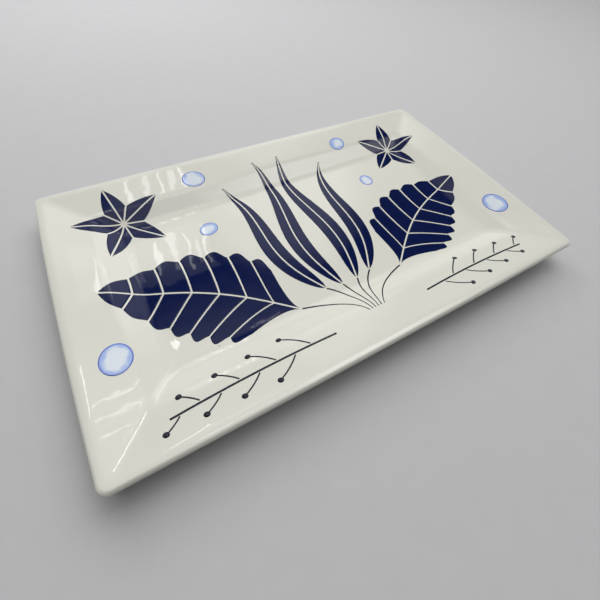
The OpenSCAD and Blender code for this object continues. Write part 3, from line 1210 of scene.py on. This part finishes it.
@dataclass(frozen=True)
class BisquePorcelain(Finish):
    """Unglazed fired porcelain, wiped and ground flat where the platter stands.

    To the eye it is a dry warm white with a fine sandy tooth and a little grey rubbed into it.
    """

    clay: str = "#E6DFD0"
    rubbed: str = "#CFC6B6"
    grit_size: float = 0.6 * MM
    grit_depth: float = 0.02 * MM
    grit_detail: float = 2
    patch_size: float = 9 * MM
    patch_detail: float = 4
    roughness: float = 0.75

    def shader(self, nodes: Nodes) -> bpy.types.Node:
        """Mix the clay with rubbed patches over a gritty bump.

        Args:
            nodes: nodes of the material.

        Returns:
            The shader.
        """
        patches = nodes.noise(self.patch_size, self.patch_detail)
        grit = nodes.noise(self.grit_size, self.grit_detail)
        return nodes.add("ShaderNodeBsdfPrincipled", {
            "Base Color": nodes.blend(patches, linear(self.clay), linear(self.rubbed)),
            "Roughness": self.roughness, "Normal": nodes.bump(grit, self.grit_depth)})


@dataclass(frozen=True)
class Transfer(Glossy):
    """Screen-printed ceramic colour on a transfer, fired into the glaze.

    To the eye it is a flat deep colour, a little less glassy than the glaze beside it, and faintly
    uneven where the colour was pushed through the screen.
    """

    ior: float = 1.38
    deep: str = "#07123B"
    thin: str = "#0C1A49"
    mottle_size: float = 7 * MM
    mottle_detail: float = 5
    mottle_roughness: float = 0.6

    def shader(self, nodes: Nodes) -> bpy.types.Node:
        """Mix the deep and the thin colour by a soft mottle.

        Args:
            nodes: nodes of the material.

        Returns:
            The shader.
        """
        mottle = nodes.noise(self.mottle_size, self.mottle_detail, self.mottle_roughness)
        return self.gloss(nodes, nodes.blend(mottle, linear(self.deep), linear(self.thin)))


@dataclass(frozen=True)
class Watercolour(Glossy):
    """Cobalt wash on a transfer, fired into the glaze.

    To the eye it is a pale pool of blue with a dark drying line at its edge, blooms where water
    ran back, and the grain of the pigment.
    """

    line: str = "#4355B2"
    body: str = "#9DB0DE"
    pale: str = "#D6DDE4"
    bloom_size: float = 9 * MM
    bloom_detail: float = 2
    bloom_ends: tuple[float, float] = (0.3, 0.7)
    bloom_push: float = 0.3
    grain_size: float = 1.1 * MM
    grain_detail: float = 3
    line_from: float = 0.86
    pool_from: float = 0.5

    def shader(self, nodes: Nodes) -> bpy.types.Node:
        """Run from the pale pool to the drying line by the tone, which the blooms push about.

        Args:
            nodes: nodes of the material.

        Returns:
            The shader.
        """
        tone = nodes.add("ShaderNodeAttribute", attribute_name=TONE).outputs["Fac"]
        bloom = nodes.noise(self.bloom_size, self.bloom_detail)
        push = nodes.ramp(bloom, self.bloom_ends, (-self.bloom_push, self.bloom_push))
        moved = nodes.calc("ADD", tone, push)
        pool = nodes.ramp(moved, (self.pool_from, self.line_from), smooth=True)
        edge = nodes.ramp(tone, (self.line_from, 1), smooth=True)
        wash = nodes.blend(pool, linear(self.pale), linear(self.body))
        lined = nodes.blend(edge, wash, linear(self.line))
        grain = nodes.noise(self.grain_size, self.grain_detail)
        return self.gloss(nodes, nodes.blend(grain, lined, linear(self.pale), "SOFT_LIGHT"))


@dataclass(frozen=True)
class BackgroundPaper(Finish):
    """Pale seamless paper: matt, with a faint cloudiness from its fibres."""

    pale: str = "#C2C2C3"
    cloudy: str = "#BDBDBE"
    fibre_size: float = 14 * MM
    fibre_detail: float = 4
    roughness: float = 0.85
    sheen: float = 0.2

    def shader(self, nodes: Nodes) -> bpy.types.Node:
        """Mix two near tones by a soft noise.

        Args:
            nodes: nodes of the material.

        Returns:
            The shader.
        """
        fibres = nodes.noise(self.fibre_size, self.fibre_detail)
        return nodes.add("ShaderNodeBsdfPrincipled", {
            "Base Color": nodes.blend(fibres, linear(self.pale), linear(self.cloudy)),
            "Roughness": self.roughness, "Specular IOR Level": self.sheen})


@dataclass(frozen=True)
class Softbox:
    """A rectangular studio light along a line between two points, which faces the platter.

    Its level is its brightness, where 1 is the white of a sheet in full light.
    """

    name: str
    start: tuple[float, float, float]
    end: tuple[float, float, float]
    breadth: float
    level: float
    mirrored: bool = True

    def build(self) -> None:
        """Add the light, which either shows in the gloss or lights what is matt."""
        start, end = Vector(self.start), Vector(self.end)
        lamp = bpy.data.lights.new(self.name, "AREA")
        lamp.shape = "RECTANGLE"
        lamp.size, lamp.size_y = (end - start).length, self.breadth
        lamp.energy = self.level * math.pi * lamp.size * lamp.size_y
        back = ((start + end) / 2).normalized()
        across = back.cross(end - start).normalized()
        holder = bpy.data.objects.new(self.name, lamp)
        holder.matrix_world = Matrix((across.cross(back), across, back)).transposed().to_4x4()
        holder.location = (start + end) / 2
        holder.visible_glossy = self.mirrored
        holder.visible_diffuse = not self.mirrored
        bpy.context.scene.collection.objects.link(holder)


@dataclass(frozen=True)
class Glow:
    """A soft round patch of light in the room: full within its core, gone at its reach."""

    bearing: float
    height: float
    level: float
    core: float
    reach: float

    def build(self, nodes: Nodes, heading: Socket) -> Socket:
        """Add the patch, whose level follows the cosine of the angle to its middle.

        Args:
            nodes: nodes of the room.
            heading: direction of the ray.

        Returns:
            The level along the ray.
        """
        bearing, height = math.radians(self.bearing), math.radians(self.height)
        flat = math.cos(height)
        middle = (flat * math.cos(bearing), flat * math.sin(bearing), math.sin(height))
        near = nodes.add("ShaderNodeVectorMath", {0: heading, 1: middle}, operation="DOT_PRODUCT")
        ends = (math.cos(math.radians(self.reach)), math.cos(math.radians(self.core)))
        return nodes.ramp(near.outputs["Value"], ends, (0, self.level), smooth=True)


@dataclass
class Studio:
    """Pale floor, soft light and the camera at the photograph's viewing angle."""

    eye: tuple[float, float, float] = (-0.1123, -0.1486, 0.1953)
    aim: tuple[float, float, float] = (-0.0373, -0.047, 0.0)
    roll: float = 8.1
    lens: float = 19.37
    clip_start: float = 10 * MM
    floor_reach: float = 12.0
    floor_steps: int = 24
    ambience: str = "#F7F7F8"
    pale_level: float = 0.75
    dusk_level: float = 0.05
    horizon_top: float = 0.42
    fill_level: float = 0.085
    sky: Glow = Glow(42, 57, 1.52, 16, 58)
    ceiling: Glow = Glow(0, 90, 1.2, 20, 39)
    skylight: Glow = Glow(-6, 63, 3.0, 7, 22)
    windows: tuple[Glow, ...] = (Glow(61, 39, 1.3, 6, 16), Glow(90, 40, 0.7, 4, 11))
    softboxes: tuple[Softbox, ...] = (
        Softbox("key", (0.0, 0.36, 0.9), (0.85, 0.36, 0.9), 0.7, 1.7, mirrored=False),
        Softbox("far_wash", (-0.35, 0.75, 0.55), (0.2, 0.75, 0.55), 0.4, 3.4, mirrored=False),
        Softbox("window_far", (-0.16, 0.335, 0.35), (-0.005, 0.335, 0.35), 0.1, 0.6),
        Softbox("bar_1", (-0.117, 0.3, 0.35), (-0.117, 0.37, 0.35), 0.007, 4),
        Softbox("bar_2", (-0.085, 0.305, 0.35), (-0.085, 0.375, 0.35), 0.012, 2.6),
        Softbox("bar_3", (-0.057, 0.3, 0.35), (-0.057, 0.37, 0.35), 0.005, 4),
        Softbox("bar_4", (-0.036, 0.31, 0.35), (-0.036, 0.36, 0.35), 0.009, 2.6),
        Softbox("bar_5", (-0.018, 0.3, 0.35), (-0.018, 0.37, 0.35), 0.006, 4),
        Softbox("tube_crest", (-0.3, 0.07, 1.1), (1.1, 0.07, 1.1), 0.03, 4),
        Softbox("tube_1", (0.24, 0.49, 1.07), (-0.21, 0.42, 1.1), 0.005, 6),
        Softbox("tube_2", (0.22, 0.42, 1.1), (-0.2, 0.37, 1.12), 0.005, 6),
        Softbox("tube_3", (0.21, 0.36, 1.13), (-0.19, 0.32, 1.14), 0.005, 6),
        Softbox("tube_mitre", (-0.2, 0.57, 1.1), (-0.36, 0.38, 1.1), 0.03, 7),
    )

    def floor(self) -> None:
        """Lay the floor as a flat grid at the height that the platter stands on."""
        way = np.linspace(-self.floor_reach, self.floor_reach, self.floor_steps + 1)
        x, y = np.meshgrid(way, way)
        points = np.stack([x, y, np.zeros_like(x)], axis=-1).reshape(-1, 3)
        quads = grid_quads(np.arange(len(points)).reshape(x.shape))
        ground = make_piece("floor", points, quads, np.zeros(len(quads), bool))
        ground.data.materials.append(BackgroundPaper("seamless_paper").build())

    def surroundings(self) -> None:
        """Fill the room with light.

        What is matt gets an even fill and a broad soft sky. The gloss sees a room that is pale at
        the horizon and dim above it, with a lit ceiling, a skylight and windows.
        """
        world = bpy.data.worlds.new("room")
        world.use_nodes = True
        nodes = Nodes(world.node_tree)
        nodes.tree.nodes.clear()
        ray = nodes.add("ShaderNodeLightPath").outputs
        mirrored = nodes.calc("MAXIMUM", ray["Is Glossy Ray"], ray["Is Transmission Ray"])
        heading = nodes.add("ShaderNodeTexCoord").outputs["Generated"]
        up = nodes.add("ShaderNodeSeparateXYZ", {0: heading}).outputs["Z"]
        matt = nodes.calc("ADD", self.sky.build(nodes, heading), self.fill_level)
        horizon = (self.horizon_top / 2, self.horizon_top)
        gloss = nodes.ramp(up, horizon, (self.pale_level, self.dusk_level), smooth=True)
        for glow in (self.ceiling, self.skylight, *self.windows):
            gloss = nodes.calc("ADD", gloss, glow.build(nodes, heading))
        level = nodes.ramp(mirrored, levels=(matt, gloss))
        shown = nodes.ramp(ray["Is Camera Ray"], levels=(level, self.pale_level))
        room = nodes.add("ShaderNodeBackground", {"Color": linear(self.ambience), "Strength": shown})
        nodes.add("ShaderNodeOutputWorld", {"Surface": room.outputs[0]})
        bpy.context.scene.world = world

    def camera(self) -> None:
        """Stand the camera at the eye, aim it and roll it about its own axis."""
        data = bpy.data.cameras.new("camera")
        data.lens = self.lens
        data.clip_start = self.clip_start
        holder = bpy.data.objects.new("camera", data)
        holder.location = self.eye
        look = (Vector(self.aim) - Vector(self.eye)).to_track_quat("-Z", "Y")
        holder.rotation_mode = "QUATERNION"
        holder.rotation_quaternion = look @ Quaternion((0, 0, 1), math.radians(self.roll))
        bpy.context.scene.collection.objects.link(holder)
        bpy.context.scene.camera = holder

    def build(self) -> None:
        """Set up the whole studio."""
        bpy.context.scene.view_settings.view_transform = "Standard"
        self.camera()
        self.floor()
        self.surroundings()
        for softbox in self.softboxes:
            softbox.build()


def main() -> None:
    """Build the studio and the platter, piece by piece."""
    logging.basicConfig(level=logging.INFO, format="%(name)s: %(message)s")
    Studio().build()
    low, high = CAD_BOX
    section = Section()
    plan = Plan(
        half_length=(high.x - low.x) / 2 - Plan.short_bow - section.glaze,
        half_width=(high.y - low.y) / 2 - Plan.long_bow - section.glaze,
    )
    surface = Surface(plan, section)
    materials = {
        Slot.GLAZE: GlazedPorcelain("glazed_porcelain").build(),
        Slot.BISQUE: BisquePorcelain("bisque_porcelain").build(),
        Slot.NAVY: Transfer("navy_transfer").build(),
        Slot.INK: Transfer("ink_transfer", deep="#1C1D28", thin="#2B2C38").build(),
        Slot.WASH: Watercolour("cobalt_wash").build(),
    }
    Casting(surface, materials).build()
    film = Film(surface, materials)
    Spray(film).build()
    Scatter(film).build()


if __name__ == "__main__":
    main()
